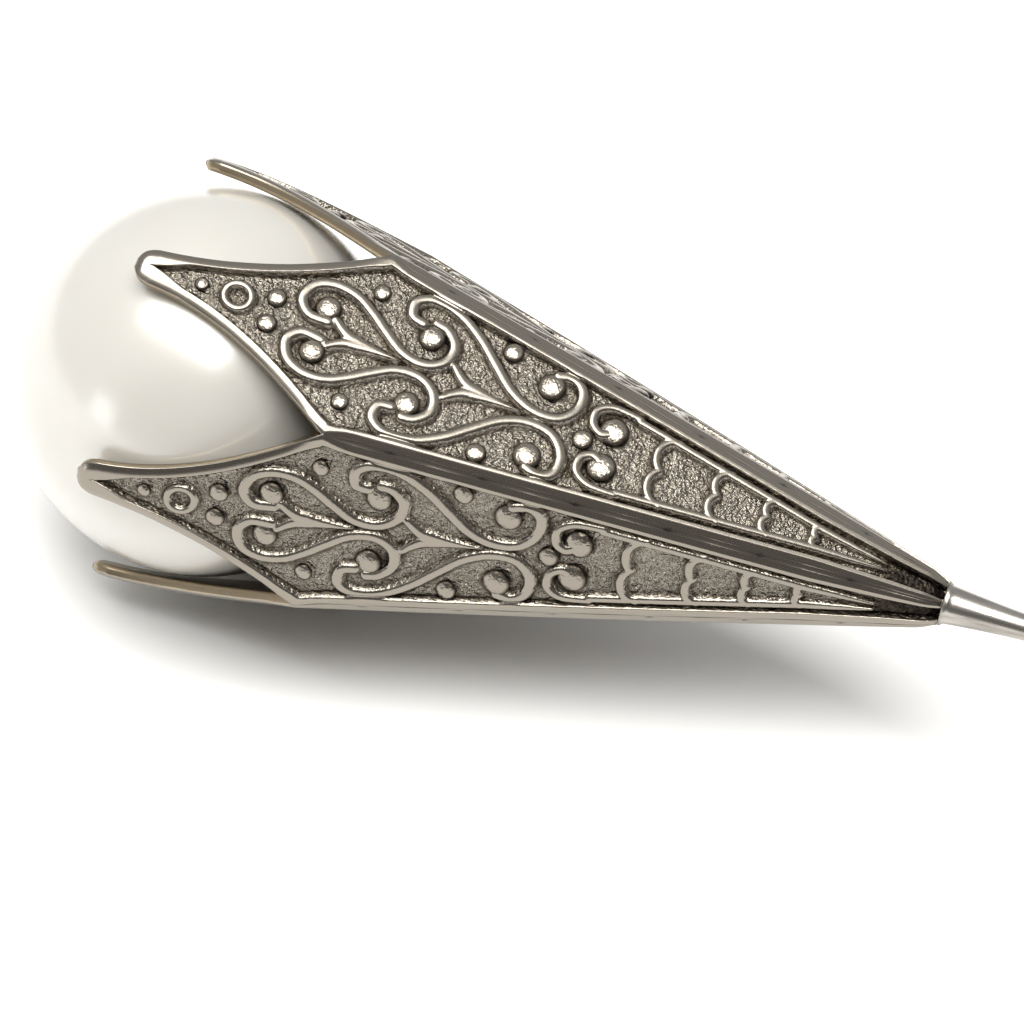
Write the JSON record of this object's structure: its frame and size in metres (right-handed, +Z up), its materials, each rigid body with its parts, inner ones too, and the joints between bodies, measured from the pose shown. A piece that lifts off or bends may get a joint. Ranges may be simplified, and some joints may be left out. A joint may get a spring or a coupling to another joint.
{
  "type": "hat pin",
  "caption": "Hat pin: a large pearl seated in a long faceted calyx of pointed relief petals, on a slim straight shank whose sharp point is covered by a pull-off tubular guard.",
  "frame": {"origin": "on the surface the pin lies on, under the middle of its bounding box", "axes": "+X from the pearl towards the point, +Z up from the surface it lies on"},
  "size_m": [0.202, 0.0176, 0.0172],
  "materials": {
    "antique_silver": "silver plated, darkened in the recesses and rubbed bright on the edges",
    "pearl_coat": "white pearl lacquer",
    "plain_steel": "drawn and polished",
    "nylon": "natural nylon"
  },
  "bodies": {
    "pin": {"petal_1": "antique_silver", "petal_2": "antique_silver", "petal_3": "antique_silver", "petal_4": "antique_silver", "petal_5": "antique_silver", "petal_6": "antique_silver", "pearl": "pearl_coat", "pearl_cup": "plain_steel", "calyx_bush": "plain_steel", "shank": "plain_steel"},
    "guard": {"guard_barrel": "antique_silver", "guard_ring": "antique_silver", "guard_liner": "nylon"}
  },
  "joints": [
    {"name": "guard_pull", "type": "slide", "parent": "pin", "child": "guard", "axis": [0.9994, 0, -0.035], "range_m": [0, 0.013]}
  ]
}
